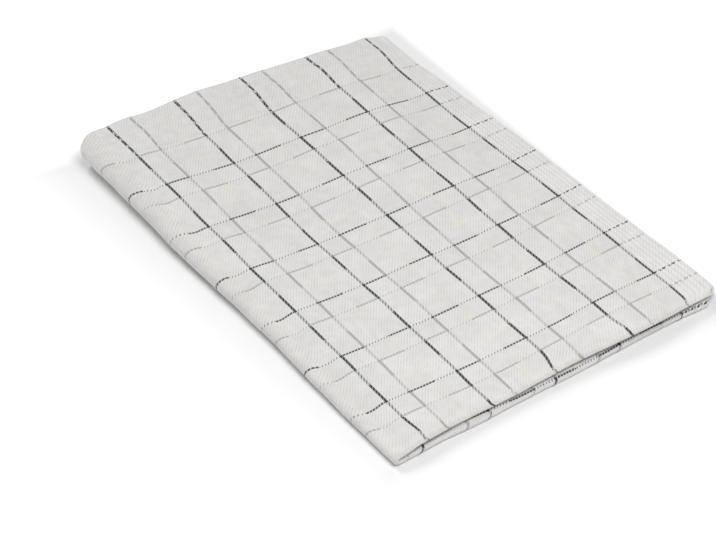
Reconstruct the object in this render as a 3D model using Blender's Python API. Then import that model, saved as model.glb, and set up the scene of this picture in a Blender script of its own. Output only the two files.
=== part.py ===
"""Tea towel folded twice into quarters, as one closed sheet of cloth.

The cloth is flat first: s runs across it and t along it, both from its middle,
in millimetres. The first fold brings the far end over the near one along the
front edge. The second brings the left half over the right one along the left
edge, where it stays a round roll at the back and a tight corner at the front.
That leaves four layers: 1 is the top, 2 and 3 lie inside, 4 is the bottom.
X runs from the left fold to the open right side, Y from the front fold to the
hemmed ends at the back, Z up. The bottom layer lies flat on Z = 0.
"""

import math
from collections import namedtuple

import bpy
import numpy as np

MM = 0.001

# Flat cloth
CLOTH_WIDTH = 490.0
CLOTH_LENGTH = 688.0
SHEET = 1.1
CORNER_RADIUS = 5.0
HEM_DEPTH = 14.0
HEM_STEP = 1.4
HEM_EXTRA = 0.9
HEM_RISE_LENGTH = 26.0

# Stack of four layers
STACK = 10.0
PAIR_GAP = 2.0
LEAST_LOOSENESS = 0.17

# Front fold
FRONT_HALF_GAP = 1.25
FRONT_DIP = 1.7
FRONT_DIP_LENGTH = 10.0
FRONT_CORNER_PULL = 6.0
FRONT_CORNER_DEPTH = 3.2
FRONT_CORNER_WIDTH = 30.0

# Back: where the hemmed ends lie, and where the layers begin to be drawn in to them
BACK_Y = 341.6
DRAW_IN_FROM_Y = 90.0
BACK_CORNER_INSET = 3.5
BACK_CORNER_START = 120.0
BACK_CORNER_LENGTH = 90.0

# Left fold: the flat place of its crest at the front and back, its ridge, and where the
# hems begin to lift the top
NOSE_FLAT_FRONT = 2.4
NOSE_FLAT_BACK = -0.5
RIDGE_X = 20.0
RIDGE_ROUND = 8.0
HEM_RISE_X = 18.0
NOSE_BLEND = 15.0

# Open right side: the top pair drops towards the floor past the lower pair's edge
DROP_START_X = 176.0
DROP_ON_STACK = 4.5
DROP_ON_STACK_Y = (95.0, 245.0)
DROP_PAST_STACK = 2.6
DROP_PAST_STACK_Y = (185.0, 285.0)
DROP_PAST_STACK_LENGTH = 15.0
LOWER_EDGE_FRONT_X = 234.0
LOWER_EDGE_BACK_X = 215.0
EDGE_CLEARANCE = 2.0

# Sections of the left fold, front to back, in millimetres: the height of the roll at
# its left and how far left it bulges, the height of the ridge above the stack, and how
# far the ridge reaches
Section = namedtuple("Section", "y nose bulge ridge reach")
SECTIONS = (
    Section(0.0, 8.4, 0.0, 2.2, 24.0),
    Section(38.0, 9.0, 0.3, 2.8, 26.0),
    Section(88.0, 10.6, 0.0, 3.6, 28.0),
    Section(133.0, 12.6, -1.0, 5.0, 30.0),
    Section(180.0, 14.6, 0.2, 6.2, 33.0),
    Section(226.0, 16.8, 1.5, 7.5, 38.0),
    Section(273.0, 19.6, 0.8, 10.2, 55.0),
    Section(304.0, 21.2, 0.8, 11.6, 64.0),
    Section(342.0, 21.6, 1.0, 11.6, 72.0),
)

# Layers, in millimetres: how far each one's right edge stands in from the cloth's full
# reach at the front and at the back, and how far its hemmed end does
Layer = namedtuple("Layer", "front_inset back_inset end_inset")
LAYER_1 = Layer(0.0, 0.0, 0.0)
LAYER_2 = Layer(1.5, 9.0, 3.5)
LAYER_3 = Layer(8.5, 35.0, 6.5)
LAYER_4 = Layer(7.5, 31.0, 4.5)

# Crest of the front fold at flat places s, in millimetres: its own flat place t, which
# runs askew of the weave, and how far back it lies
Crest = namedtuple("Crest", "s flat line")
CRESTS = (
    Crest(-245.0, -5.3, 3.2),
    Crest(-205.0, -5.2, 3.8),
    Crest(-185.0, -5.1, 3.6),
    Crest(-150.0, -5.0, 2.2),
    Crest(-100.0, -4.5, 1.6),
    Crest(-57.0, -2.6, 0.8),
    Crest(-25.0, -1.0, 1.0),
    Crest(0.0, 1.2, -0.2),
    Crest(25.0, 3.2, 1.0),
    Crest(50.0, 5.3, 3.0),
    Crest(88.0, 5.9, 3.5),
    Crest(135.0, 7.7, 4.8),
    Crest(185.0, 5.1, 2.6),
    Crest(205.0, 5.1, 2.9),
    Crest(228.0, 7.0, 4.6),
    Crest(245.0, 7.4, 5.2),
)

# Right edge of the upper pair: how far out it lies at places y, in millimetres
Edge = namedtuple("Edge", "y out")
EDGES = (
    Edge(0.0, 3.4),
    Edge(38.0, 2.6),
    Edge(92.0, 0.0),
    Edge(230.0, 0.0),
    Edge(276.0, -0.8),
    Edge(325.0, -3.8),
    Edge(342.0, -3.2),
)
EDGE_BAND = 17.0

# Soft swells and hollows of the top: place, height and spread, in millimetres
Swell = namedtuple("Swell", "x y height spread_x spread_y")
SWELLS = (
    Swell(186.0, 8.0, 3.0, 34.0, 55.0),
    Swell(90.0, 40.0, -0.9, 26.0, 60.0),
    Swell(58.0, 158.0, 0.8, 24.0, 20.0),
    Swell(126.0, 243.0, 0.7, 26.0, 26.0),
    Swell(156.0, 113.0, -0.8, 28.0, 45.0),
    Swell(44.0, 342.0, -2.6, 18.0, 24.0),
    Swell(92.0, 342.0, 1.2, 16.0, 24.0),
    Swell(172.0, 342.0, -2.0, 42.0, 24.0),
)

# Flat places where the mesh has a column or a row of points, in millimetres: those of
# the edges are measured in from the cloth's side, and those of the hems from its end
NOSE_COLUMNS = (1.2, 2.8, 4.8, 7.2, 10.4, 14.0, 18.5, 25.5)
PANEL_COLUMNS = (40.0, 62.0, 90.0, 125.0, 150.0, 175.0, 192.0, 205.0, 215.0, 224.5, 233.0)
EDGE_COLUMNS = (4.5, 1.4, 0.0)
FOLD_STEPS = 8
PANEL_ROWS = (2.2, 4.5, 8.0, 20.0, 45.0, 88.0, 133.0, 180.0, 226.0, 268.0, 299.0, 315.0)
HEM_ROWS = (HEM_DEPTH + HEM_STEP, HEM_DEPTH, 4.5, 1.4, 0.0)

# Dense run of points along one section, used to measure lengths along the cloth
NOSE_SAMPLES = 61
PANEL_SAMPLES = 221
PANEL_REACH_X = 275.0

CLOTH_COLOUR = (0.74, 0.72, 0.68, 1.0)
CLOTH_ROUGHNESS = 0.9
SHARP_ANGLE = 40.0


def ease(value):
    """A smooth step from 0 to 1."""
    value = np.clip(value, 0.0, 1.0)
    return value * value * (3.0 - 2.0 * value)


def table_value(table, name, place):
    """One column of a table at a place, on a smooth curve through its rows."""
    places = np.array([row[0] for row in table])
    values = np.array([getattr(row, name) for row in table])
    slopes = np.gradient(values, places)
    place = np.clip(place, places[0], places[-1])
    k = np.clip(np.searchsorted(places, place, side="right") - 1, 0, len(places) - 2)
    step = places[k + 1] - places[k]
    f = (place - places[k]) / step
    start = (1 + 2 * f) * (1 - f) ** 2 * values[k] + f * (1 - f) ** 2 * step * slopes[k]
    end = f * f * (3 - 2 * f) * values[k + 1] + f * f * (f - 1) * step * slopes[k + 1]
    return start + end


def lower_edge_x(y):
    return LOWER_EDGE_FRONT_X + (LOWER_EDGE_BACK_X - LOWER_EDGE_FRONT_X) * y / BACK_Y


def top_height(x, y):
    """Height of the top surface right of the roll, without the hems' own thickness."""
    nose = table_value(SECTIONS, "nose", y)
    past = x - RIDGE_X
    fall = np.exp(-(np.sqrt(past**2 + RIDGE_ROUND**2) - RIDGE_ROUND) / table_value(SECTIONS, "reach", y))
    height = STACK + table_value(SECTIONS, "ridge", y) * np.where(past > 0, fall, 1.0)
    for swell in SWELLS:
        away = ((x - swell.x) / swell.spread_x) ** 2 + ((y - swell.y) / swell.spread_y) ** 2
        height = height + swell.height * np.exp(-away)
    edge = lower_edge_x(y) - EDGE_CLEARANCE
    first, last = DROP_ON_STACK_Y
    drop = DROP_ON_STACK * ease((y - first) / (last - first))
    height = height - drop * ease((x - DROP_START_X) / (edge - DROP_START_X))
    first, last = DROP_PAST_STACK_Y
    drop = DROP_PAST_STACK * ease((y - first) / (last - first))
    height = height - drop * ease((x - edge - 2 * EDGE_CLEARANCE) / DROP_PAST_STACK_LENGTH)
    height = height - FRONT_DIP * (1 - ease(y / FRONT_DIP_LENGTH)) * ease(x / RIDGE_X)
    rise = ease((x - nose / 2) / (RIDGE_X - nose / 2))
    return nose + (height - nose) * rise


def half_spacing(height):
    """Half the distance between the middles of the two layers of a pair."""
    looseness = (height - 4 * SHEET) / (STACK - 4 * SHEET)
    return (SHEET + PAIR_GAP * np.clip(looseness, LEAST_LOOSENESS, 1.0)) / 2


def section(y, hem):
    """The middle of a pair of layers along the section at each y, from the lower right
    edge round the roll to the upper right edge: rows of x, of z, of the outward
    normal's x and z, and of half the pair's spacing. The roll's leftmost point is the
    middle one of each row."""
    y = y[:, None]
    hem = hem[:, None]
    nose = table_value(SECTIONS, "nose", y)
    half = half_spacing(nose) + hem * HEM_EXTRA
    radius = nose / 2 - SHEET / 2 - half
    x = nose / 2 + (PANEL_REACH_X - nose / 2) * np.linspace(0.0, 1.0, PANEL_SAMPLES)
    height = top_height(x, y)
    spacing = half_spacing(height) + hem * HEM_EXTRA
    on_stack = 1 - ease((x - lower_edge_x(y)) / DROP_PAST_STACK_LENGTH)
    rise = 2 * HEM_EXTRA * hem * (1 + on_stack) * ease((x - HEM_RISE_X) / RIDGE_X)
    top_z = height + rise - SHEET / 2 - spacing
    slope = np.gradient(top_z, axis=1) / np.gradient(x, axis=1)
    level = np.sqrt(1 + slope**2)
    turn = np.linspace(-math.pi / 2, math.pi / 2, NOSE_SAMPLES)[None, 1:-1]
    flat = np.zeros_like(x)
    return (
        np.hstack([x[:, ::-1], nose / 2 - radius * np.cos(turn), x]),
        np.hstack([(SHEET / 2 + spacing)[:, ::-1], nose / 2 + radius * np.sin(turn), top_z]),
        np.hstack([flat, -np.cos(turn) + 0 * nose, -slope / level]),
        np.hstack([flat - 1, np.sin(turn) + 0 * nose, 1 / level]),
        np.hstack([spacing[:, ::-1], half + 0 * turn, spacing]),
    )


def layer_value(name, s, outer):
    """A column of the layers' table, blended round the two folds."""
    upper = ease((s / NOSE_BLEND + 1) / 2)
    over = outer * getattr(LAYER_1, name) + (1 - outer) * getattr(LAYER_2, name)
    under = outer * getattr(LAYER_4, name) + (1 - outer) * getattr(LAYER_3, name)
    return upper * over + (1 - upper) * under


def crest_flat(s):
    """The flat place t of the front fold's crest."""
    return table_value(CRESTS, "flat", s)


def crest_line(s):
    """How far back the front fold's crest lies."""
    return table_value(CRESTS, "line", s)


def cloth_faces(s, t):
    """The cloth's right and wrong side at flat places s, t: two arrays of rows x, y, z."""
    quarter = math.pi / 2 * FRONT_HALF_GAP
    from_crest = t - crest_flat(s)
    angle = np.clip(from_crest, -quarter, quarter) / FRONT_HALF_GAP
    side = np.sin(angle)
    outer = ease((from_crest / quarter + 1) / 2)
    fold_depth = SHEET / 2 + FRONT_HALF_GAP
    past_fold = np.maximum(0.0, np.abs(from_crest) - quarter)
    depth = fold_depth - FRONT_HALF_GAP * np.cos(angle) + past_fold
    full = CLOTH_LENGTH / 2 - np.sign(from_crest) * crest_flat(s) - quarter + fold_depth
    end = BACK_Y - layer_value("end_inset", s, outer)
    end = end - BACK_CORNER_INSET * ease((s - BACK_CORNER_START) / BACK_CORNER_LENGTH)
    drawn = ease((depth - DRAW_IN_FROM_Y) / (full - DRAW_IN_FROM_Y))
    y = depth + crest_line(s) - (full + crest_line(s) - end) * drawn
    from_end = CLOTH_LENGTH / 2 - np.abs(t)
    hem = ease((HEM_DEPTH + HEM_RISE_LENGTH - from_end) / HEM_RISE_LENGTH)
    hem_face = HEM_EXTRA * np.clip((HEM_DEPTH + HEM_STEP - from_end) / HEM_STEP, 0.0, 1.0)

    back = np.clip(y / BACK_Y, 0.0, 1.0)
    nose_flat = NOSE_FLAT_FRONT + (NOSE_FLAT_BACK - NOSE_FLAT_FRONT) * back
    inset = (1 - back) * layer_value("front_inset", s, outer)
    inset = inset + back * layer_value("back_inset", s, outer)
    corner = ease((np.abs(s) - CLOTH_WIDTH / 2 + FRONT_CORNER_WIDTH) / FRONT_CORNER_WIDTH)
    pull = FRONT_CORNER_PULL * np.exp(-((depth / FRONT_CORNER_DEPTH) ** 2))
    along = s * (1 - inset / (CLOTH_WIDTH / 2)) - np.sign(s) * pull * corner - nose_flat
    out = table_value(EDGES, "out", y)
    along = along + out * ease((s - CLOTH_WIDTH / 2 + EDGE_BAND) / EDGE_BAND)

    bulge = table_value(SECTIONS, "bulge", y)
    x, z, normal_x, normal_z, spacing = section(y, hem)
    x = x - bulge[:, None] * (1 - ease(x / (2 * RIDGE_X)))
    along = along + bulge
    layer_x = x + side[:, None] * spacing * normal_x
    layer_z = z + side[:, None] * spacing * normal_z
    steps = np.hypot(np.diff(layer_x, axis=1), np.diff(layer_z, axis=1))
    run = np.hstack([np.zeros((len(s), 1)), np.cumsum(steps, axis=1)])
    run = run - run[:, run.shape[1] // 2][:, None]
    middle = np.empty((len(s), 3))
    face = np.empty((len(s), 3))
    for k, place in enumerate(along):
        middle[k, 0] = np.interp(place, run[k], layer_x[k])
        middle[k, 2] = np.interp(place, run[k], layer_z[k])
        face[k, 0] = np.interp(place, run[k], normal_x[k]) * side[k]
        face[k, 2] = np.interp(place, run[k], normal_z[k]) * side[k]
    middle[:, 1] = y
    face[:, 1] = -np.cos(angle)
    return middle + face * SHEET / 2, middle - face * (SHEET / 2 + hem_face)[:, None]


def rounded(s, t):
    """The flat place t of a row's points s, drawn in where the cloth's corners are round."""
    inner = CLOTH_LENGTH / 2 - 2 * CORNER_RADIUS
    past = np.maximum(np.abs(s) - (CLOTH_WIDTH / 2 - CORNER_RADIUS), 0.0)
    limit = CLOTH_LENGTH / 2 - CORNER_RADIUS + np.sqrt(np.maximum(CORNER_RADIUS**2 - past**2, 0.0))
    drawn = inner + (np.abs(t) - inner) * (limit - inner) / (CLOTH_LENGTH / 2 - inner)
    return np.where(np.abs(t) > inner, np.sign(t) * drawn, t)


def cloth_points(columns, rows):
    """Both faces of the cloth on a grid of flat places, as arrays of row, column, xyz."""
    faces = [cloth_faces(columns, rounded(columns, t)) for t in rows]
    return np.array([face[0] for face in faces]), np.array([face[1] for face in faces])


def closed_sheet(name, right_side, wrong_side):
    """One closed mesh of the two faces and the edge between them."""
    rows, columns = right_side.shape[:2]
    points = np.concatenate([right_side.reshape(-1, 3), wrong_side.reshape(-1, 3)])
    low, high = points.min(axis=0), points.max(axis=0)
    points = (points - [(low[0] + high[0]) / 2, (low[1] + high[1]) / 2, 0.0]) * MM
    over = np.arange(rows * columns).reshape(rows, columns)
    under = over + rows * columns
    quads = []
    for i in range(rows - 1):
        for j in range(columns - 1):
            quads.append((over[i, j], over[i, j + 1], over[i + 1, j + 1], over[i + 1, j]))
            quads.append((under[i, j], under[i + 1, j], under[i + 1, j + 1], under[i, j + 1]))
    edges = (
        (over[0], under[0]),
        (over[:, -1], under[:, -1]),
        (over[-1, ::-1], under[-1, ::-1]),
        (over[::-1, 0], under[::-1, 0]),
    )
    for upper, lower in edges:
        for k in range(len(upper) - 1):
            quads.append((upper[k], lower[k], lower[k + 1], upper[k + 1]))
    mesh = bpy.data.meshes.new(name)
    mesh.from_pydata(points.tolist(), [], [tuple(int(v) for v in quad) for quad in quads])
    mesh.validate()
    return mesh


def cloth_material():
    material = bpy.data.materials.new("woven_cloth")
    material.use_nodes = True
    shader = material.node_tree.nodes["Principled BSDF"]
    shader.inputs["Base Color"].default_value = CLOTH_COLOUR
    shader.inputs["Roughness"].default_value = CLOTH_ROUGHNESS
    shader.inputs["Metallic"].default_value = 0.0
    return material


def grid_rows(s):
    """The flat places t of the mesh's rows, set about the crest of the front fold at s."""
    quarter = math.pi / 2 * FRONT_HALF_GAP
    crest = crest_flat(s)
    rows = [crest + quarter * (2 * k / FOLD_STEPS - 1) for k in range(FOLD_STEPS + 1)]
    for depth in PANEL_ROWS:
        fade = 1 - depth / CLOTH_LENGTH * 2
        rows.append(depth + (crest + quarter) * fade)
        rows.insert(0, -depth + (crest - quarter) * fade)
    for from_end in HEM_ROWS:
        rows.append(CLOTH_LENGTH / 2 - from_end + 0 * crest)
        rows.insert(0, from_end - CLOTH_LENGTH / 2 + 0 * crest)
    return np.array(rows)


def grid_columns():
    """The flat places s of the mesh's columns."""
    half = list(NOSE_COLUMNS + PANEL_COLUMNS)
    half += [CLOTH_WIDTH / 2 - from_side for from_side in EDGE_COLUMNS]
    return np.array([-s for s in reversed(half)] + [0.0] + half)


def build_towel():
    columns = grid_columns()
    mesh = closed_sheet("towel", *cloth_points(columns, grid_rows(columns)))
    mesh.shade_smooth()
    mesh.set_sharp_from_angle(angle=math.radians(SHARP_ANGLE))
    towel = bpy.data.objects.new("towel", mesh)
    towel.data.materials.append(cloth_material())
    bpy.context.scene.collection.objects.link(towel)
    return towel


def main():
    for old in list(bpy.data.objects):
        bpy.data.objects.remove(old, do_unlink=True)
    build_towel()


main()
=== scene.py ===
"""A checked tea towel folded into quarters: its woven cloth, stitches, light and camera.

The cloth is worked out flat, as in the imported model: s runs across it and t along it,
both from its middle, in millimetres, and two folds carry it into place. Here it is
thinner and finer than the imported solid, with puckered hems and a woven check.
"""

import math
from collections import namedtuple

import bpy
import numpy as np
from mathutils import Matrix, Vector


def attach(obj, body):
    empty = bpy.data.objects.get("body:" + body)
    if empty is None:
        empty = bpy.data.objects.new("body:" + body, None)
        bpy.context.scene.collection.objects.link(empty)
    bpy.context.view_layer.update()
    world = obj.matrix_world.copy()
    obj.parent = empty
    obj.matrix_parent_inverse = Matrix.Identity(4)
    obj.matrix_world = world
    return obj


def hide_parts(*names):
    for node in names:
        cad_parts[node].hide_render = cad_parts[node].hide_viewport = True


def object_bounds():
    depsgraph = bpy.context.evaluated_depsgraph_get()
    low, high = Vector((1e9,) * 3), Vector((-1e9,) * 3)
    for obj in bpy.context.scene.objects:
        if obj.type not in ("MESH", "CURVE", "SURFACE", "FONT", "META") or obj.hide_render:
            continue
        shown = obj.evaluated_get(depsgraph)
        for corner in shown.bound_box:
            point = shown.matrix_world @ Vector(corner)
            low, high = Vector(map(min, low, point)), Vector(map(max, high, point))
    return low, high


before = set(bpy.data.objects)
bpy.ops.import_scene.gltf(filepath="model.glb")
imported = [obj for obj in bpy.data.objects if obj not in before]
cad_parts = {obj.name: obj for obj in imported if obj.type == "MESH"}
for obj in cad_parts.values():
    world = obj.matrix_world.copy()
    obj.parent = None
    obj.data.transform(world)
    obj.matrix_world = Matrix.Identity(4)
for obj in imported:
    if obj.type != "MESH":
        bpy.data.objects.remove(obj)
CAD_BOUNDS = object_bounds()

MM = 0.001

# Flat cloth
CLOTH_WIDTH = 490.0
CLOTH_LENGTH = 688.0
SOLID_SHEET = 1.1
SHEET = 0.8
CORNER_RADIUS = 5.0
HEM_DEPTH = 14.0
HEM_STEP = 1.4
HEM_EXTRA = 0.9
HEM_RISE_LENGTH = 26.0

# Stack of four layers
STACK = 10.0
PAIR_GAP = 2.0
LEAST_LOOSENESS = 0.17

# Front fold
FRONT_HALF_GAP = 1.25
FRONT_DIP = 1.7
FRONT_DIP_LENGTH = 10.0
FRONT_CORNER_PULL = 6.0
FRONT_CORNER_DEPTH = 3.2
FRONT_CORNER_WIDTH = 30.0

# Back: where the hemmed ends lie, and where the layers begin to be drawn in to them
BACK_Y = 341.6
DRAW_IN_FROM_Y = 90.0
BACK_CORNER_INSET = 3.5
BACK_CORNER_START = 120.0
BACK_CORNER_LENGTH = 90.0

# Left fold: the flat place of its crest at the front and back, its ridge, and where the
# hems begin to lift the top
NOSE_FLAT_FRONT = 2.4
NOSE_FLAT_BACK = -0.5
RIDGE_X = 20.0
RIDGE_ROUND = 8.0
HEM_RISE_X = 18.0
NOSE_BLEND = 15.0

# Open right side: the top pair drops towards the floor past the lower pair's edge
DROP_START_X = 176.0
DROP_ON_STACK = 4.5
DROP_ON_STACK_Y = (95.0, 245.0)
DROP_PAST_STACK = 2.6
DROP_PAST_STACK_Y = (185.0, 285.0)
DROP_PAST_STACK_LENGTH = 15.0
LOWER_EDGE_FRONT_X = 234.0
LOWER_EDGE_BACK_X = 215.0
EDGE_CLEARANCE = 2.0

# Sections of the left fold, front to back, in millimetres: the height of the roll at
# its left and how far left it bulges, the height of the ridge above the stack, and how
# far the ridge reaches
Section = namedtuple("Section", "y nose bulge ridge reach")
SECTIONS = (
    Section(0.0, 8.4, 0.0, 2.2, 24.0),
    Section(38.0, 9.0, 0.3, 2.8, 26.0),
    Section(88.0, 10.6, 0.0, 3.6, 28.0),
    Section(133.0, 12.6, -1.0, 5.0, 30.0),
    Section(180.0, 14.6, 0.2, 6.2, 33.0),
    Section(226.0, 16.8, 1.5, 7.5, 38.0),
    Section(273.0, 19.6, 0.8, 10.2, 55.0),
    Section(304.0, 21.2, 0.8, 11.6, 64.0),
    Section(342.0, 21.6, 1.0, 11.6, 72.0),
)

# Layers, in millimetres: how far each one's right edge stands in from the cloth's full
# reach at the front and at the back, and how far its hemmed end does
Layer = namedtuple("Layer", "front_inset back_inset end_inset")
LAYER_1 = Layer(0.0, 0.0, 0.0)
LAYER_2 = Layer(1.5, 9.0, 3.5)
LAYER_3 = Layer(8.5, 35.0, 6.5)
LAYER_4 = Layer(7.5, 31.0, 4.5)

# Crest of the front fold at flat places s, in millimetres: its own flat place t, which
# runs askew of the weave, and how far back it lies
Crest = namedtuple("Crest", "s flat line")
CRESTS = (
    Crest(-245.0, -5.3, 3.2),
    Crest(-205.0, -5.2, 3.8),
    Crest(-185.0, -5.1, 3.6),
    Crest(-150.0, -5.0, 2.2),
    Crest(-100.0, -4.5, 1.6),
    Crest(-57.0, -2.6, 0.8),
    Crest(-25.0, -1.0, 1.0),
    Crest(0.0, 1.2, -0.2),
    Crest(25.0, 3.2, 1.0),
    Crest(50.0, 5.3, 3.0),
    Crest(88.0, 5.9, 3.5),
    Crest(135.0, 7.7, 4.8),
    Crest(185.0, 5.1, 2.6),
    Crest(205.0, 5.1, 2.9),
    Crest(228.0, 7.0, 4.6),
    Crest(245.0, 7.4, 5.2),
)

# Right edge of the upper pair: how far out it lies at places y, in millimetres
Edge = namedtuple("Edge", "y out")
EDGES = (
    Edge(0.0, 3.4),
    Edge(38.0, 2.6),
    Edge(92.0, 0.0),
    Edge(230.0, 0.0),
    Edge(276.0, -0.8),
    Edge(325.0, -3.8),
    Edge(342.0, -3.2),
)
EDGE_BAND = 17.0

# Soft swells and hollows of the top: place, height and spread, in millimetres
Swell = namedtuple("Swell", "x y height spread_x spread_y")
SWELLS = (
    Swell(186.0, 8.0, 3.0, 34.0, 55.0),
    Swell(90.0, 40.0, -0.9, 26.0, 60.0),
    Swell(58.0, 158.0, 0.8, 24.0, 20.0),
    Swell(126.0, 243.0, 0.7, 26.0, 26.0),
    Swell(156.0, 113.0, -0.8, 28.0, 45.0),
    Swell(44.0, 342.0, -2.6, 18.0, 24.0),
    Swell(92.0, 342.0, 1.2, 16.0, 24.0),
    Swell(172.0, 342.0, -2.0, 42.0, 24.0),
)

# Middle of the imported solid's outline, in the millimetres of the fold's own frame
OUTLINE_MIDDLE = (122.2, 170.7)

# Dense run of points along one section, used to measure lengths along the cloth
NOSE_SAMPLES = 91
PANEL_SAMPLES = 331
PANEL_REACH_X = 275.0

# Check: repeats across and along the cloth, their threads, and where they lie
REPEAT_ACROSS = 50.6
REPEAT_ALONG = 46.7
ENDS = 93.0
PICKS = 66.0
LINE_ALONG_AT = 25.3
LINE_ACROSS_AT = -7.2
SIDE_STRIP = 16.6
END_BORDER = 38.0

# Waves: each one's size, how far along s and t it turns by one radian, and its start
Wave = namedtuple("Wave", "size length_s length_t start")

# Drift of the weave, in millimetres: where the threads lie aside of their flat place, in
# waves all over the cloth, in single places, by the right side, and on the lower layers
WAVES_ACROSS = (
    Wave(0.22, 61.0, 23.0, 0.0),
    Wave(0.18, 17.0, 9.7, 1.0),
)
WAVES_ALONG = (
    Wave(0.25, 27.0, -71.0, 2.0),
    Wave(0.15, 11.3, 19.0, 0.0),
)
Drift = namedtuple("Drift", "s t across along spread_s spread_t")
DRIFTS = (
    Drift(143.0, 270.0, -2.7, 0.0, 10.0, 50.0),
    Drift(126.5, 8.0, 3.4, 0.0, 12.0, 9.0),
    Drift(177.0, 8.0, -1.5, 0.0, 12.0, 9.0),
    Drift(25.3, 8.0, -1.6, 0.0, 12.0, 9.0),
    Drift(150.0, 22.0, 0.0, -2.6, 40.0, 12.0),
    Drift(245.0, 150.0, 0.0, -1.6, 30.0, 200.0),
    Drift(8.0, 160.0, -2.3, 0.0, 12.0, 220.0),
    Drift(84.0, 185.0, 2.0, 0.0, 20.0, 40.0),
    Drift(178.0, 285.0, -1.4, 0.0, 14.0, 40.0),
    Drift(215.0, 80.0, 0.0, -1.3, 35.0, 25.0),
)
EDGE_DRIFT = 2.4
EDGE_DRIFT_FROM = 198.0
EDGE_DRIFT_LENGTH = 24.0
UNDER_DRIFT = -7.8
UNDER_DRIFT_LENGTH = 18.0
UNDER_DRIFT_FROM = 40.0
UNDER_DRIFT_FADE = 240.0

# Slant of the picks round the roll: how much further back they lie there
ROLL_SLANT = 6.3
ROLL_SLANT_BACK = 8.0
ROLL_SLANT_BACK_FROM = 170.0
ROLL_SLANT_BACK_LENGTH = 150.0
ROLL_SLANT_FROM_S = 18.0
ROLL_SLANT_TO_S = -30.0
ROLL_SLANT_LENGTH = 20.0
ROLL_SLANT_FRONT = 30.0


def ease(value):
    """A smooth step from 0 to 1."""
    value = np.clip(value, 0.0, 1.0)
    return value * value * (3.0 - 2.0 * value)


def table_value(table, name, place):
    """One column of a table at a place, on a smooth curve through its rows."""
    places = np.array([row[0] for row in table])
    values = np.array([getattr(row, name) for row in table])
    slopes = np.gradient(values, places)
    place = np.clip(place, places[0], places[-1])
    k = np.clip(np.searchsorted(places, place, side="right") - 1, 0, len(places) - 2)
    step = places[k + 1] - places[k]
    f = (place - places[k]) / step
    start = (1 + 2 * f) * (1 - f) ** 2 * values[k] + f * (1 - f) ** 2 * step * slopes[k]
    end = f * f * (3 - 2 * f) * values[k + 1] + f * f * (f - 1) * step * slopes[k + 1]
    return start + end


def waved(waves, s, t):
    """The sum of some waves at flat places s, t."""
    return sum(w.size * np.sin(s / w.length_s + t / w.length_t + w.start) for w in waves)


def lower_edge_x(y):
    """How far right the lower pair of layers reaches."""
    return LOWER_EDGE_FRONT_X + (LOWER_EDGE_BACK_X - LOWER_EDGE_FRONT_X) * y / BACK_Y


def top_height(x, y):
    """Height of the top surface right of the roll, without the hems' own thickness."""
    nose = table_value(SECTIONS, "nose", y)
    past = x - RIDGE_X
    beyond = np.sqrt(past**2 + RIDGE_ROUND**2) - RIDGE_ROUND
    fall = np.exp(-beyond / table_value(SECTIONS, "reach", y))
    height = STACK + table_value(SECTIONS, "ridge", y) * np.where(past > 0, fall, 1.0)
    for swell in SWELLS:
        away = ((x - swell.x) / swell.spread_x) ** 2 + ((y - swell.y) / swell.spread_y) ** 2
        height = height + swell.height * np.exp(-away)
    edge = lower_edge_x(y) - EDGE_CLEARANCE
    first, last = DROP_ON_STACK_Y
    drop = DROP_ON_STACK * ease((y - first) / (last - first))
    height = height - drop * ease((x - DROP_START_X) / (edge - DROP_START_X))
    first, last = DROP_PAST_STACK_Y
    drop = DROP_PAST_STACK * ease((y - first) / (last - first))
    height = height - drop * ease((x - edge - 2 * EDGE_CLEARANCE) / DROP_PAST_STACK_LENGTH)
    height = height - FRONT_DIP * (1 - ease(y / FRONT_DIP_LENGTH)) * ease(x / RIDGE_X)
    rise = ease((x - nose / 2) / (RIDGE_X - nose / 2))
    return nose + (height - nose) * rise


def half_spacing(height):
    """Half the distance between the middles of the two layers of a pair."""
    looseness = (height - 4 * SOLID_SHEET) / (STACK - 4 * SOLID_SHEET)
    return (SOLID_SHEET + PAIR_GAP * np.clip(looseness, LEAST_LOOSENESS, 1.0)) / 2


def section(y, hem):
    """The middle of a pair of layers along the section at each y, from the lower right
    edge round the roll to the upper right edge: rows of x, of z, of the outward
    normal's x and z, and of half the pair's spacing. The roll's leftmost point is the
    middle one of each row."""
    y = y[:, None]
    hem = hem[:, None]
    nose = table_value(SECTIONS, "nose", y)
    half = half_spacing(nose) + hem * HEM_EXTRA
    radius = nose / 2 - SOLID_SHEET / 2 - half
    x = nose / 2 + (PANEL_REACH_X - nose / 2) * np.linspace(0.0, 1.0, PANEL_SAMPLES)
    height = top_height(x, y)
    spacing = half_spacing(height) + hem * HEM_EXTRA
    on_stack = 1 - ease((x - lower_edge_x(y)) / DROP_PAST_STACK_LENGTH)
    rise = 2 * HEM_EXTRA * hem * (1 + on_stack) * ease((x - HEM_RISE_X) / RIDGE_X)
    top_z = height + rise - SOLID_SHEET / 2 - spacing
    slope = np.gradient(top_z, axis=1) / np.gradient(x, axis=1)
    level = np.sqrt(1 + slope**2)
    turn = np.linspace(-math.pi / 2, math.pi / 2, NOSE_SAMPLES)[None, 1:-1]
    flat = np.zeros_like(x)
    low_z = (SOLID_SHEET / 2 + spacing)[:, ::-1]
    return (
        np.hstack([x[:, ::-1], nose / 2 - radius * np.cos(turn), x]),
        np.hstack([low_z, nose / 2 + radius * np.sin(turn), top_z]),
        np.hstack([flat, -np.cos(turn) + 0 * nose, -slope / level]),
        np.hstack([flat - 1, np.sin(turn) + 0 * nose, 1 / level]),
        np.hstack([spacing[:, ::-1], half + 0 * turn, spacing]),
    )


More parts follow.
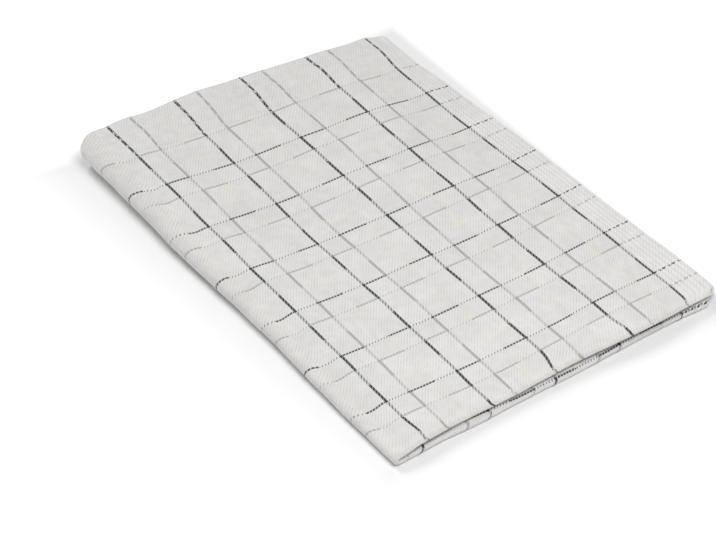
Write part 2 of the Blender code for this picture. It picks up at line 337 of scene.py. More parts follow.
def layer_value(name, s, outer):
    """A column of the layers' table, blended round the two folds."""
    upper = ease((s / NOSE_BLEND + 1) / 2)
    over = outer * getattr(LAYER_1, name) + (1 - outer) * getattr(LAYER_2, name)
    under = outer * getattr(LAYER_4, name) + (1 - outer) * getattr(LAYER_3, name)
    return upper * over + (1 - upper) * under


def crest_flat(s):
    """The flat place t of the front fold's crest."""
    return table_value(CRESTS, "flat", s)


def crest_line(s):
    """How far back the front fold's crest lies."""
    return table_value(CRESTS, "line", s)


# Fine relief of the cloth, in millimetres: cockles of several lengths, each row of them
# bent and shifted by its own angles, in radians, and the puckers and groove of the hems
COCKLE = 0.16
Cockle = namedtuple("Cockle", "across along bend_start_s bend_start_t start_t")
COCKLES = (
    Cockle(61.0, 47.0, 0.0, 0.0, 0.0),
    Cockle(37.0, 83.0, 2.1, 1.0, 1.3),
    Cockle(26.0, 31.0, 4.2, 2.0, 2.6),
    Cockle(97.0, 29.0, 6.3, 3.0, 3.9),
)
BEND_S = 1.7
BEND_S_LENGTH = 1.9
BEND_T = 1.3
BEND_T_LENGTH = 2.3
WRONG_SIDE_RELIEF = 0.5
STITCH_LINE = 12.0
STITCH_GROOVE = 0.22
STITCH_GROOVE_WIDTH = 1.6
PUCKER = 0.2
PUCKER_LENGTH = 8.7
PUCKER_REACH = 9.0
PUCKER_WAVES = (
    Wave(2.4, 21.0, math.inf, 0.0),
    Wave(1.1, 7.3, 40.0, 0.0),
)


def relief(s, t):
    """How far the cloth stands out from its smooth folds: cockles, and puckered hems."""
    height = 0.0 * s
    for k, row in enumerate(COCKLES):
        bend_s = BEND_S * np.sin(s / (BEND_S_LENGTH * row.along) + row.bend_start_s)
        bend_t = BEND_T * np.sin(t / (BEND_T_LENGTH * row.across) + row.bend_start_t)
        bend = bend_s + bend_t
        wave = np.sin(2 * math.pi * s / row.across + bend)
        wave = wave * np.sin(2 * math.pi * t / row.along + row.start_t + bend)
        height = height + COCKLE / math.sqrt(k + 1) * wave
    from_line = CLOTH_LENGTH / 2 - STITCH_LINE - np.abs(t)
    near = np.exp(-((from_line / PUCKER_REACH) ** 2))
    drift = waved(PUCKER_WAVES, s, t)
    height = height + PUCKER * near * np.sin(2 * math.pi * s / PUCKER_LENGTH + drift)
    return height - STITCH_GROOVE * np.exp(-((from_line / STITCH_GROOVE_WIDTH) ** 2))


def cloth_frame(s, t):
    """The cloth's middle and its outward normal at flat places s, t, and its hem's extra."""
    quarter = math.pi / 2 * FRONT_HALF_GAP
    from_crest = t - crest_flat(s)
    angle = np.clip(from_crest, -quarter, quarter) / FRONT_HALF_GAP
    side = np.sin(angle)
    outer = ease((from_crest / quarter + 1) / 2)
    fold_depth = SOLID_SHEET / 2 + FRONT_HALF_GAP
    past_fold = np.maximum(0.0, np.abs(from_crest) - quarter)
    depth = fold_depth - FRONT_HALF_GAP * np.cos(angle) + past_fold
    full = CLOTH_LENGTH / 2 - np.sign(from_crest) * crest_flat(s) - quarter + fold_depth
    end = BACK_Y - layer_value("end_inset", s, outer)
    end = end - BACK_CORNER_INSET * ease((s - BACK_CORNER_START) / BACK_CORNER_LENGTH)
    drawn = ease((depth - DRAW_IN_FROM_Y) / (full - DRAW_IN_FROM_Y))
    y = depth + crest_line(s) - (full + crest_line(s) - end) * drawn
    from_end = CLOTH_LENGTH / 2 - np.abs(t)
    hem = ease((HEM_DEPTH + HEM_RISE_LENGTH - from_end) / HEM_RISE_LENGTH)
    hem_face = HEM_EXTRA * np.clip((HEM_DEPTH + HEM_STEP - from_end) / HEM_STEP, 0.0, 1.0)

    back = np.clip(y / BACK_Y, 0.0, 1.0)
    nose_flat = NOSE_FLAT_FRONT + (NOSE_FLAT_BACK - NOSE_FLAT_FRONT) * back
    inset = (1 - back) * layer_value("front_inset", s, outer)
    inset = inset + back * layer_value("back_inset", s, outer)
    corner = ease((np.abs(s) - CLOTH_WIDTH / 2 + FRONT_CORNER_WIDTH) / FRONT_CORNER_WIDTH)
    pull = FRONT_CORNER_PULL * np.exp(-((depth / FRONT_CORNER_DEPTH) ** 2))
    along = s * (1 - inset / (CLOTH_WIDTH / 2)) - np.sign(s) * pull * corner - nose_flat
    out = table_value(EDGES, "out", y)
    along = along + out * ease((s - CLOTH_WIDTH / 2 + EDGE_BAND) / EDGE_BAND)
    bulge = table_value(SECTIONS, "bulge", y)
    x, z, normal_x, normal_z, spacing = section(y, hem)
    x = x - bulge[:, None] * (1 - ease(x / (2 * RIDGE_X)))
    along = along + bulge
    layer_x = x + side[:, None] * spacing * normal_x
    layer_z = z + side[:, None] * spacing * normal_z
    steps = np.hypot(np.diff(layer_x, axis=1), np.diff(layer_z, axis=1))
    run = np.hstack([np.zeros((len(s), 1)), np.cumsum(steps, axis=1)])
    run = run - run[:, run.shape[1] // 2][:, None]
    middle = np.empty((len(s), 3))
    face = np.empty((len(s), 3))
    for k, place in enumerate(along):
        middle[k, 0] = np.interp(place, run[k], layer_x[k])
        middle[k, 2] = np.interp(place, run[k], layer_z[k])
        face[k, 0] = np.interp(place, run[k], normal_x[k]) * side[k]
        face[k, 2] = np.interp(place, run[k], normal_z[k]) * side[k]
    middle[:, 1] = y
    face[:, 1] = -np.cos(angle)
    return middle, face, hem_face


def cloth_faces(s, t):
    """The cloth's right and wrong side at flat places s, t: two arrays of rows x, y, z."""
    middle, face, hem_face = cloth_frame(s, t)
    lift = relief(s, t)[:, None]
    return (
        middle + face * (SHEET / 2 + lift),
        middle - face * (SHEET / 2 + hem_face[:, None] - WRONG_SIDE_RELIEF * lift),
    )


def rounded(s, t):
    """The flat place t of a row's points s, drawn in where the cloth's corners are round."""
    inner = CLOTH_LENGTH / 2 - 2 * CORNER_RADIUS
    past = np.maximum(np.abs(s) - (CLOTH_WIDTH / 2 - CORNER_RADIUS), 0.0)
    limit = CLOTH_LENGTH / 2 - CORNER_RADIUS + np.sqrt(np.maximum(CORNER_RADIUS**2 - past**2, 0.0))
    drawn = inner + (np.abs(t) - inner) * (limit - inner) / (CLOTH_LENGTH / 2 - inner)
    return np.where(np.abs(t) > inner, np.sign(t) * drawn, t)


# Fine grid of the cloth, in millimetres: steps between its points close to the left and
# the front fold and how far those reach, steps elsewhere, and places in from the edges
FOLD_STEPS = 14
LEFT_STEP = 1.6
LEFT_REACH = 30.0
FRONT_STEP = 0.8
FRONT_REACH = 8.0
FAR_STEP = 3.6
EDGE_STEPS = (3.0, 1.4, 0.5, 0.0)
HEM_STEPS = (HEM_DEPTH + HEM_STEP, HEM_DEPTH, 12.8, 11.9, 11.0, 8.5, 6.0, 3.4, 1.6, 0.5, 0.0)
LEAST_HEIGHT = 0.05

# Corners of one face of a grid
QUAD = 4


def half_steps(step, reach, last):
    """Places from 0 to last: a step apart as far as reach, and wider apart past it."""
    close = np.arange(step, reach, step)
    count = int(round((last - close[-1]) / FAR_STEP))
    return np.concatenate([close, np.linspace(close[-1], last, count + 1)[1:]])


def grid_columns():
    """The flat places s of the mesh's columns."""
    half = half_steps(LEFT_STEP, LEFT_REACH, CLOTH_WIDTH / 2 - EDGE_STEPS[0] - FAR_STEP / 2)
    half = np.concatenate([half, CLOTH_WIDTH / 2 - np.array(EDGE_STEPS)])
    return np.concatenate([-half[::-1], [0.0], half])


def grid_rows(s):
    """The flat places t of the mesh's rows, set about the crest of the front fold at s."""
    quarter = math.pi / 2 * FRONT_HALF_GAP
    crest = crest_flat(s)
    rows = [crest + quarter * (2 * k / FOLD_STEPS - 1) for k in range(FOLD_STEPS + 1)]
    last = CLOTH_LENGTH / 2 - HEM_STEPS[0] - FAR_STEP / 2
    for depth in half_steps(FRONT_STEP, FRONT_REACH, last):
        fade = 1 - depth / CLOTH_LENGTH * 2
        rows.append(depth + (crest + quarter) * fade)
        rows.insert(0, -depth + (crest - quarter) * fade)
    for from_end in HEM_STEPS:
        rows.append(CLOTH_LENGTH / 2 - from_end + 0 * crest)
        rows.insert(0, from_end - CLOTH_LENGTH / 2 + 0 * crest)
    return np.array(rows)


def placed(points):
    """Points of the fold's own frame, in millimetres, as points of the scene."""
    return (points - [OUTLINE_MIDDLE[0], OUTLINE_MIDDLE[1], 0.0]) * MM


def wander(s, t):
    """The weave's own unevenness: flat places of the threads at flat places s, t."""
    across = waved(WAVES_ACROSS, s, t)
    along = waved(WAVES_ALONG, s, t)
    for drift in DRIFTS:
        away = ((s - drift.s) / drift.spread_s) ** 2 + ((t - drift.t) / drift.spread_t) ** 2
        across = across + drift.across * np.exp(-away)
        along = along + drift.along * np.exp(-away)
    across = across + EDGE_DRIFT * ease((s - EDGE_DRIFT_FROM) / EDGE_DRIFT_LENGTH)
    near = 1 - ease((np.abs(t) - UNDER_DRIFT_FROM) / UNDER_DRIFT_FADE)
    across = across + UNDER_DRIFT * ease(-s / UNDER_DRIFT_LENGTH) * near
    on_roll = ease((ROLL_SLANT_FROM_S - s) / ROLL_SLANT_LENGTH)
    on_roll = on_roll * (1 - ease((ROLL_SLANT_TO_S - s) / ROLL_SLANT_LENGTH))
    slant = ROLL_SLANT + ROLL_SLANT_BACK * ease((t - ROLL_SLANT_BACK_FROM) / ROLL_SLANT_BACK_LENGTH)
    along = along - slant * on_roll * ease(t / ROLL_SLANT_FRONT)
    return s + across, t + along


# Map for a bake, as shares of the image's sides: how far across the cloth's two sides
# reach, the places of its folds in them, and the rim's own strip
BAKE_OVER = (0.004, 0.836)
BAKE_OVER_FOLD = 0.245
BAKE_UNDER = (0.846, 0.980)
BAKE_UP = (0.006, 0.994)
BAKE_UP_FOLD = 0.150
BAKE_RIM = (0.987, 0.996)


def bake_places(s, t):
    """Places of flat points in the bake's image, for the cloth's right and wrong side."""
    half_width, half_length = CLOTH_WIDTH / 2, CLOTH_LENGTH / 2
    up_places = (BAKE_UP[0], BAKE_UP_FOLD, BAKE_UP[1])
    over_places = (BAKE_OVER[0], BAKE_OVER_FOLD, BAKE_OVER[1])
    up = np.interp(t, (-half_length, 0.0, half_length), up_places)
    over = np.interp(s, (-half_width, 0.0, half_width), over_places)
    even = np.interp(t, (-half_length, half_length), BAKE_UP)
    under = np.interp(s, (-half_width, half_width), BAKE_UNDER)
    return np.stack([over, up], -1), np.stack([under, even], -1)


def add_bake_map(mesh, flat, rim):
    """Gives the right side most of the bake's image, and the rim's faces, which come last
    in the mesh, a strip of it."""
    over, under = zip(*(bake_places(s, t) for s, t in flat))
    places = np.concatenate([np.concatenate(over), np.concatenate(under)])
    corners = np.empty(len(mesh.loops), dtype=np.int32)
    mesh.loops.foreach_get("vertex_index", corners)
    places = places[corners]
    up = np.linspace(BAKE_UP[0], BAKE_UP[1], rim + 1)
    near, far = BAKE_RIM
    strip = [[(near, a), (far, a), (far, b), (near, b)] for a, b in zip(up[:-1], up[1:])]
    rim_corners = QUAD * rim
    places[-rim_corners:] = np.array(strip).reshape(-1, 2)
    layer = mesh.uv_layers.new(name="OFBake")
    layer.data.foreach_set("uv", places.astype(np.float32).ravel())


def grid_quads(index, turned):
    """The four-sided faces of a grid of point numbers, turned over for the wrong side."""
    corners = [index[:-1, :-1], index[:-1, 1:], index[1:, 1:], index[1:, :-1]]
    if turned:
        corners = [corners[0], corners[3], corners[2], corners[1]]
    return np.stack(corners, -1).reshape(-1, QUAD)


def make_cloth():
    """The towel's cloth as one closed mesh of its right side, wrong side and rim."""
    columns = grid_columns()
    rows = grid_rows(columns)
    count = rows.shape[0] * rows.shape[1]
    flat = [(columns, rounded(columns, t)) for t in rows]
    right_rows, wrong_rows = zip(*(cloth_faces(s, t) for s, t in flat))
    points = np.concatenate(right_rows + wrong_rows)
    points[:, 2] = np.maximum(points[:, 2], LEAST_HEIGHT)
    over = np.arange(count).reshape(rows.shape)
    around = np.concatenate([over[0], over[1:, -1], over[-1, -2::-1], over[-2:0:-1, 0]])
    following = np.roll(around, -1)
    rim = np.stack([around, around + count, following + count, following], -1)
    quads = np.concatenate([grid_quads(over, False), grid_quads(over + count, True), rim])
    mesh = bpy.data.meshes.new("towel_cloth")
    mesh.from_pydata(placed(points).tolist(), [], quads.tolist())
    threads = np.concatenate([np.stack([*wander(s, t), 0 * s], -1) for s, t in flat])
    threads = np.concatenate([threads, threads]).astype(np.float32)
    attribute = mesh.attributes.new("threads", "FLOAT_VECTOR", "POINT")
    attribute.data.foreach_set("vector", threads.ravel())
    add_bake_map(mesh, flat, len(around))
    mesh.shade_smooth()
    cloth = bpy.data.objects.new("towel_cloth", mesh)
    bpy.context.scene.collection.objects.link(cloth)
    return cloth


# Sockets of the Mix node, by number, for each kind of value that it mixes
MixSockets = namedtuple("MixSockets", "first second result")
MIX_NUMBERS = MixSockets(2, 3, 0)
MIX_COLOURS = MixSockets(6, 7, 2)


class Nodes:
    """Adds shader nodes to one material."""

    def __init__(self, material):
        material.use_nodes = True
        self.tree = material.node_tree
        self.shader = self.tree.nodes["Principled BSDF"]

    def add(self, kind, **settings):
        node = self.tree.nodes.new(kind)
        for name, value in settings.items():
            setattr(node, name, value)
        return node

    def put(self, socket, value):
        """Joins a socket to another, or sets its value."""
        if isinstance(value, bpy.types.NodeSocket):
            self.tree.links.new(value, socket)
        else:
            socket.default_value = value

    def split(self, vector):
        """The three numbers of a vector."""
        node = self.add("ShaderNodeSeparateXYZ")
        self.put(node.inputs[0], vector)
        return node.outputs

    def maths(self, operation, *values):
        node = self.add("ShaderNodeMath", operation=operation)
        for socket, value in zip(node.inputs, values):
            self.put(socket, value)
        return node.outputs[0]

    def mix(self, kind, sockets, share, first, second):
        node = self.add("ShaderNodeMix", data_type=kind)
        self.put(node.inputs[0], share)
        self.put(node.inputs[sockets.first], first)
        self.put(node.inputs[sockets.second], second)
        return node.outputs[sockets.result]

    def mixed(self, share, first, second):
        """A colour between two."""
        return self.mix("RGBA", MIX_COLOURS, share, first, second)

    def chosen(self, share, first, second):
        """A number between two."""
        return self.mix("FLOAT", MIX_NUMBERS, share, first, second)

    def within(self, value, first, width):
        """1 where value is from first to first + width."""
        past = self.maths("SUBTRACT", value, first + width / 2)
        return self.maths("LESS_THAN", self.maths("ABSOLUTE", past), width / 2)

    def blocks(self, value, repeat, places):
        """Blocks that end before value, where each repeat has block ends at 0 and places."""
        count = self.maths("FLOOR", self.maths("DIVIDE", value, repeat))
        part = self.maths("FLOORED_MODULO", value, repeat)
        for place in places:
            count = self.maths("ADD", count, self.maths("GREATER_THAN", part, place))
        return count

    def peak(self, value, middle, reach):
        """1 where value is middle, falling evenly to 0 at reach on both sides."""
        away = self.maths("ABSOLUTE", self.maths("SUBTRACT", value, middle))
        fall = self.maths("DIVIDE", away, reach)
        return self.maths("MAXIMUM", 0.0, self.maths("SUBTRACT", 1.0, fall))

    def odd(self, number):
        """1 where a whole number is odd."""
        return self.maths("FLOORED_MODULO", number, 2.0)

    def from_middle(self, count):
        """How far a count lies from the middle between two whole numbers."""
        return self.maths("ABSOLUTE", self.maths("SUBTRACT", self.maths("FRACT", count), 0.5))

    def noise(self, x, y, scale_x, scale_y, detail=0.0):
        """Noise from 0 to 1 over places x, y, with features this long, in millimetres."""
        place = self.add("ShaderNodeCombineXYZ")
        self.put(place.inputs[0], self.maths("DIVIDE", x, scale_x))
        self.put(place.inputs[1], self.maths("DIVIDE", y, scale_y))
        node = self.add("ShaderNodeTexNoise", noise_dimensions="2D")
        self.put(node.inputs["Vector"], place.outputs[0])
        self.put(node.inputs["Scale"], 1.0)
        self.put(node.inputs["Detail"], detail)
        return node.outputs[0]

    def patches(self, patch, s, t):
        """Patches of noise over the cloth, as a share of what they act on."""
        noise = self.noise(s, t, patch.length, patch.length, patch.detail)
        return self.maths("MULTIPLY_ADD", noise, patch.gain, patch.start)


# Yarns: linear colours, and the share of its place that a pick covers where the cloth is
# warp-faced or weft-faced, and in a line of the check
WHITE_END = (0.790, 0.782, 0.768, 1.0)
WHITE_PICK = (0.735, 0.729, 0.718, 1.0)
DARK_YARN = (0.055, 0.056, 0.060, 1.0)
GREY_YARN = (0.445, 0.440, 0.435, 1.0)
YELLOW_YARN = (0.797, 0.768, 0.684, 1.0)
COVER_ON_WARP = 0.40
COVER_ON_WEFT = 0.72
LINE_COVER = 0.97

# Lines of the check, in threads: their width and how much of it shows, and their places
# in each repeat, where the yellow ones fade out evenly to both sides
LINE_ENDS = 4.0
LINE_ENDS_SHOWN = 3.55
LINE_PICKS = 2.0
GREY_END = 31.0
GREY_PICK = 21.0
YELLOW_END = 64.0
YELLOW_ENDS = 8.5
YELLOW_PICK = 45.5
YELLOW_PICKS = 6.4

# Weave, in threads: where its blocks end in each repeat of the check, its twill, the
# middle and half the length of the twill's floats, the ribs of the side strips, and the
# bars of the end borders
BLOCK_ENDS = (31.0, 66.0)
BLOCK_PICKS = (21.0, 41.0)
TWILL = 4.0
FLOAT_MIDDLE = 2.5
FLOAT_HALF = 1.5
RIB_ENDS = 3.0
BORDER_PICKS = 12.0
BORDER_FACED = 8.0

# Tone of each thread: how far apart two neighbours lie in its noise, and how long its
# changes are, in millimetres
END_TONE_STEP = 7.3
END_TONE_LENGTH = 14.0
PICK_TONE_STEP = 5.1
PICK_TONE_LENGTH = 11.0

# Shades, as shares of a yarn's colour: plain, and what each thing adds or takes. The yarns'
# roundness, the ends of the twill's floats and the ribs of the side strips take painted shade, and
# the side strips add painted light
PLAIN_SHADE = 0.998
TONE_SHADE = 0.07
ROUND_PAINTED_SHADE = 0.42
FLOAT_PAINTED_SHADE = 0.10
RIB_PAINTED_SHADE = 0.055
STRIP_PAINTED_LIGHT = 0.066

# Patches of noise: their length in millimetres, their detail, and the gain and start
# that turn the noise into how faded the yellow is, how uneven the floats' painted shade
# is, what the whole cloth's shade gains, and the fuzz of its relief
Patch = namedtuple("Patch", "length detail gain start")
FADED = Patch(17.0, 1.0, 1.6, -0.1)
UNEVEN = Patch(6.0, 1.0, 2.4, -0.2)
BLOTCH = Patch(34.0, 3.0, 0.10, -0.05)
FUZZ = Patch(0.9, 2.0, 0.35, 0.0)

# Finish of the cloth, and the relief of its weave in millimetres
ROUND_HEIGHT = 1.6
WEAVE_STRENGTH = 0.5
WEAVE_DEPTH = 0.12
CLOTH_ROUGHNESS = 0.92
CLOTH_SPECULAR = 0.2
CLOTH_SHEEN = 0.2
CLOTH_SHEEN_ROUGHNESS = 0.5

# What the shader knows of the threads at a place, and of the check's lines
Threads = namedtuple("Threads", "end pick end_number pick_number from_end from_pick")
Lines = namedtuple("Lines", "dark grey yellow")


def count_threads(n, s, t):
    """Counts of the threads across (ends) and along (picks), their whole numbers, and
    how far the place lies from the middle of each."""
    across = n.maths("DIVIDE", n.maths("SUBTRACT", s, LINE_ALONG_AT), REPEAT_ACROSS / ENDS)
    along = n.maths("DIVIDE", n.maths("SUBTRACT", LINE_ACROSS_AT, t), REPEAT_ALONG / PICKS)
    end = n.maths("ADD", across, LINE_ENDS / 2)
    pick = n.maths("ADD", along, LINE_PICKS / 2)
    end_number = n.maths("FLOOR", end)
    pick_number = n.maths("FLOOR", pick)
    return Threads(end, pick, end_number, pick_number, n.from_middle(end), n.from_middle(pick))


def weave_faces(n, threads, in_strip, in_border):
    """1 where the cloth is weft-faced: in a chequer of blocks, in ribs on the side strips
    and in bars on the end borders. The ribs come with it."""
    block_ends = n.blocks(threads.end, ENDS, BLOCK_ENDS)
    block_picks = n.blocks(n.maths("SUBTRACT", threads.pick, LINE_PICKS), PICKS, BLOCK_PICKS)
    chequer = n.odd(n.maths("ADD", block_ends, block_picks))
    ribs = n.odd(n.maths("FLOOR", n.maths("DIVIDE", threads.end, RIB_ENDS)))
    bars = n.maths("FLOORED_MODULO", threads.pick, BORDER_PICKS)
    bars = n.maths("GREATER_THAN", bars, BORDER_FACED)
    weft_faced = n.chosen(in_border, chequer, bars)
    return n.chosen(in_strip, weft_faced, ribs), ribs


def check_lines(n, threads, in_strip, in_border):
    """The lines that run along the cloth, but not in its side strips, and those that run
    across it, but not in its end borders."""
    place = n.maths("FLOORED_MODULO", threads.end, ENDS)
    margin = (LINE_ENDS - LINE_ENDS_SHOWN) / 2
    dark = n.within(place, margin, LINE_ENDS_SHOWN)
    grey = n.within(place, GREY_END + margin, LINE_ENDS_SHOWN)
    yellow = n.peak(place, YELLOW_END, YELLOW_ENDS)
    shown = n.maths("SUBTRACT", 1.0, in_strip)
    ends = Lines(*(n.maths("MULTIPLY", shown, line) for line in (dark, grey, yellow)))

    place = n.maths("FLOORED_MODULO", threads.pick, PICKS)
    dark = n.within(place, 0.0, LINE_PICKS)
    grey = n.within(place, GREY_PICK, LINE_PICKS)
    yellow = n.peak(place, YELLOW_PICK, YELLOW_PICKS)
    shown = n.maths("SUBTRACT", 1.0, in_border)
    picks = Lines(*(n.maths("MULTIPLY", shown, line) for line in (dark, grey, yellow)))
    return ends, picks


def weft_on_top(n, threads, weft_faced, picks):
    """1 where a pick lies on top and covers the ends."""
    step = n.maths("ADD", threads.end_number, threads.pick_number)
    crossing = n.maths("LESS_THAN", n.maths("FLOORED_MODULO", step, TWILL), 0.5)
    warp_up = n.chosen(weft_faced, n.maths("SUBTRACT", 1.0, crossing), crossing)
    cover = n.chosen(weft_faced, COVER_ON_WARP, COVER_ON_WEFT)
    cover = n.chosen(n.maths("MAXIMUM", picks.dark, picks.grey), cover, LINE_COVER)
    covered = n.maths("LESS_THAN", threads.from_pick, n.maths("MULTIPLY", cover, 0.5))
    return n.maths("MULTIPLY", n.maths("SUBTRACT", 1.0, warp_up), covered)


def yarn_colour(n, plain, lines, faded):
    """A thread's colour: plain, or that of the line it belongs to."""
    colour = n.mixed(lines.dark, plain, DARK_YARN)
    colour = n.mixed(lines.grey, colour, GREY_YARN)
    return n.mixed(n.maths("MULTIPLY", lines.yellow, faded), colour, YELLOW_YARN)


def thread_tone(n, threads, s, t, weft_shows):
    """Each thread's own tone, which changes slowly along it."""
    end_place = n.maths("MULTIPLY", threads.end_number, END_TONE_STEP)
    pick_place = n.maths("MULTIPLY", threads.pick_number, PICK_TONE_STEP)
    end_tone = n.noise(end_place, t, 1.0, END_TONE_LENGTH)
    pick_tone = n.noise(pick_place, s, 1.0, PICK_TONE_LENGTH)
    return n.chosen(weft_shows, end_tone, pick_tone)


def float_ends(n, threads, weft_faced):
    """How near the ends of a float of the twill the place lies, from 0 to 1, which sets the floats'
    painted shade.
    """
    on_end = n.maths("FLOORED_MODULO", n.maths("ADD", threads.end_number, threads.pick), TWILL)
    on_pick = n.maths("FLOORED_MODULO", n.maths("ADD", threads.end, threads.pick_number), TWILL)
    along = n.maths("SUBTRACT", n.chosen(weft_faced, on_end, on_pick), FLOAT_MIDDLE)
    along = n.maths("DIVIDE", along, FLOAT_HALF)
    return n.maths("MINIMUM", 1.0, n.maths("MULTIPLY", along, along))


def cloth_material():
    """Woven cotton, worked out thread by thread from the cloth's own flat places, with painted
    shade on its round yarns, the twill's floats and the side strips' ribs.
    """
    material = bpy.data.materials.new("checked_cotton")
    n = Nodes(material)
    place = n.add("ShaderNodeAttribute", attribute_name="threads")
    s, t, _ = n.split(place.outputs["Vector"])
    in_strip = n.maths("GREATER_THAN", n.maths("ABSOLUTE", s), CLOTH_WIDTH / 2 - SIDE_STRIP)
    in_border = n.maths("GREATER_THAN", n.maths("ABSOLUTE", t), CLOTH_LENGTH / 2 - END_BORDER)
    threads = count_threads(n, s, t)
    weft_faced, ribs = weave_faces(n, threads, in_strip, in_border)
    ends, picks = check_lines(n, threads, in_strip, in_border)
    weft_shows = weft_on_top(n, threads, weft_faced, picks)
    round_end = n.maths("MULTIPLY", threads.from_end, threads.from_end)
    round_pick = n.maths("MULTIPLY", threads.from_pick, threads.from_pick)
    roundness = n.chosen(weft_shows, round_end, round_pick)

    faded = n.patches(FADED, s, t)
    warp = yarn_colour(n, WHITE_END, ends, faded)
    weft = yarn_colour(n, WHITE_PICK, picks, faded)
    tone = thread_tone(n, threads, s, t, weft_shows)
    # Painted shade: the twill's floats darker towards their ends, where they dive under, in uneven
    # patches
    painted_float_shade = n.maths("MULTIPLY", float_ends(n, threads, weft_faced), n.patches(UNEVEN, s, t))
    # The yarns' colour scale: plain and random tone, then painted shade and painted light
    tone_and_painted_shade = n.maths("ADD", PLAIN_SHADE, n.patches(BLOTCH, s, t))
    tone_and_painted_shade = n.maths("MULTIPLY_ADD", tone, TONE_SHADE, tone_and_painted_shade)
    # Painted shade: each yarn darker towards its edges, where it rounds away
    tone_and_painted_shade = n.maths("MULTIPLY_ADD", roundness, -ROUND_PAINTED_SHADE, tone_and_painted_shade)
    # Painted shade at the floats' ends
    tone_and_painted_shade = n.maths("MULTIPLY_ADD", painted_float_shade, -FLOAT_PAINTED_SHADE, tone_and_painted_shade)
    # Painted light: the side strips lighter all over
    tone_and_painted_shade = n.maths("MULTIPLY_ADD", in_strip, STRIP_PAINTED_LIGHT, tone_and_painted_shade)
    # Painted shade: every other rib of the side strips darker
    tone_and_painted_shade = n.maths("MULTIPLY_ADD", n.maths("MULTIPLY", in_strip, ribs), -RIB_PAINTED_SHADE, tone_and_painted_shade)
    scaled = n.add("ShaderNodeVectorMath", operation="SCALE")
    n.put(scaled.inputs[0], n.mixed(weft_shows, warp, weft))
    n.put(scaled.inputs["Scale"], tone_and_painted_shade)
    n.put(n.shader.inputs["Base Color"], scaled.outputs[0])

    height = n.maths("MULTIPLY_ADD", roundness, -ROUND_HEIGHT, n.patches(FUZZ, s, t))
    bump = n.add("ShaderNodeBump")
    n.put(bump.inputs["Strength"], WEAVE_STRENGTH)
    n.put(bump.inputs["Distance"], WEAVE_DEPTH * MM)
    n.put(bump.inputs["Height"], height)
    n.put(n.shader.inputs["Normal"], bump.outputs[0])
    n.put(n.shader.inputs["Roughness"], CLOTH_ROUGHNESS)
    n.put(n.shader.inputs["Specular IOR Level"], CLOTH_SPECULAR)
    n.put(n.shader.inputs["Sheen Weight"], CLOTH_SHEEN)
    n.put(n.shader.inputs["Sheen Roughness"], CLOTH_SHEEN_ROUGHNESS)
    return material


# Hem stitches: one line of short threads along each hem, in millimetres, and the share
# of its radius that a stitch keeps at its ends
STITCH_PITCH = 3.3
STITCH_LENGTH = 2.5
STITCH_RADIUS = 0.27
STITCH_END_SHARE = 0.55
STITCH_SINK = 0.25
STITCH_ARCH = 0.3
STITCH_LOOK_AHEAD = 0.1
STITCH_SIDES = 6
STITCH_RINGS = 5
THREAD_DARK = (0.70, 0.69, 0.67, 1.0)
THREAD_LIGHT = (0.86, 0.85, 0.83, 1.0)
THREAD_GRAIN = 900.0
THREAD_ROUGHNESS = 0.7


def make_stitches():
    """Short rounded threads that dip into the cloth at both ends, along both hems."""
    count = int((CLOTH_WIDTH - 2 * STITCH_LENGTH) / STITCH_PITCH)
    starts = -CLOTH_WIDTH / 2 + STITCH_LENGTH + STITCH_PITCH * np.arange(count)
    turns = 2 * math.pi * np.arange(STITCH_SIDES) / STITCH_SIDES
    points = []
    quads = []
    for t in (CLOTH_LENGTH / 2 - STITCH_LINE, STITCH_LINE - CLOTH_LENGTH / 2):
        for ring in range(STITCH_RINGS):
            share = ring / (STITCH_RINGS - 1)
            arch = math.sin(math.pi * share)
            s = starts + STITCH_LENGTH * share
            middle, face, _ = cloth_frame(s, t + 0 * s)
            ahead, _, _ = cloth_frame(s + STITCH_LOOK_AHEAD, t + 0 * s)
            along = ahead - middle
            along = along / np.linalg.norm(along, axis=1)[:, None]
            side = np.cross(along, face)
            lift = SHEET / 2 + relief(s, t + 0 * s) - STITCH_SINK + STITCH_ARCH * arch
            core = middle + face * lift[:, None]
            radius = STITCH_RADIUS * (STITCH_END_SHARE + (1 - STITCH_END_SHARE) * arch)
            spokes = [math.cos(a) * face + math.sin(a) * side for a in turns]
            points.append([core + radius * spoke for spoke in spokes])
    # Points by line, ring, side, stitch
    grid = np.array(points).reshape(-1, STITCH_RINGS, STITCH_SIDES, count, 3)
    grid[..., 2] = np.maximum(grid[..., 2], LEAST_HEIGHT)
    index = np.arange(grid[..., 0].size).reshape(grid.shape[:-1])
    for ring in range(STITCH_RINGS - 1):
        first, second = index[:, ring], index[:, ring + 1]
        wall = [first, np.roll(first, -1, axis=1), np.roll(second, -1, axis=1), second]
        quads.append(np.stack(wall, -1).reshape(-1, QUAD))
    ends = [index[:, 0].transpose(0, 2, 1), index[:, -1, ::-1].transpose(0, 2, 1)]
    caps = [cap.reshape(-1, STITCH_SIDES)[:, ::-1] for cap in ends]
    mesh = bpy.data.meshes.new("hem_stitches")
    faces = np.concatenate(quads).tolist() + np.concatenate(caps).tolist()
    mesh.from_pydata(placed(grid.reshape(-1, 3)).tolist(), [], faces)
    mesh.shade_smooth()
    stitches = bpy.data.objects.new("hem_stitches", mesh)
    bpy.context.scene.collection.objects.link(stitches)
    stitches.data.materials.append(thread_material())
    return stitches


def thread_material():
    """White sewing thread with a fine grain."""
    material = bpy.data.materials.new("sewing_thread")
    n = Nodes(material)
    place = n.add("ShaderNodeTexCoord")
    grain = n.add("ShaderNodeTexNoise")
    n.put(grain.inputs["Vector"], place.outputs["Object"])
    n.put(grain.inputs["Scale"], THREAD_GRAIN)
    colour = n.mixed(grain.outputs[0], THREAD_DARK, THREAD_LIGHT)
    n.put(n.shader.inputs["Base Color"], colour)
    n.put(n.shader.inputs["Roughness"], THREAD_ROUGHNESS)
    return material


